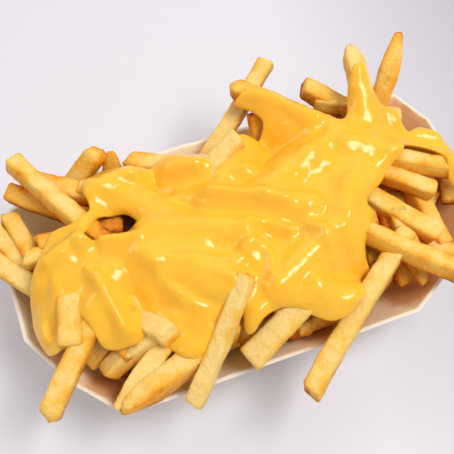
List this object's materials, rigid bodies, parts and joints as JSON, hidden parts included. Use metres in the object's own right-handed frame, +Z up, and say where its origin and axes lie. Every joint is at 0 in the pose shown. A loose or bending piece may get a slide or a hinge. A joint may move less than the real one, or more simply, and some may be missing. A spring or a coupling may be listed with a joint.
{
  "type": "cheese fries in a wooden tray",
  "caption": "Heap of thick-cut potato fries under poured melted cheese sauce, served in an open shallow tray of thin folded wood.",
  "frame": {"origin": "centre of the tray's underside, on the surface that it stands on", "axes": "+X along the tray, +Z up, -Y towards the side seen in front"},
  "size_m": [0.2319, 0.1654, 0.0767],
  "materials": {
    "wood": "pale bare veneer with grease stains",
    "fries": "golden fried potato, browned at edges and tips",
    "sauce": "wet glossy yellow cheese sauce"
  },
  "bodies": {
    "root": {"tray": "wood", "fries": "fries", "cheese_sauce": "sauce"}
  },
  "joints": []
}
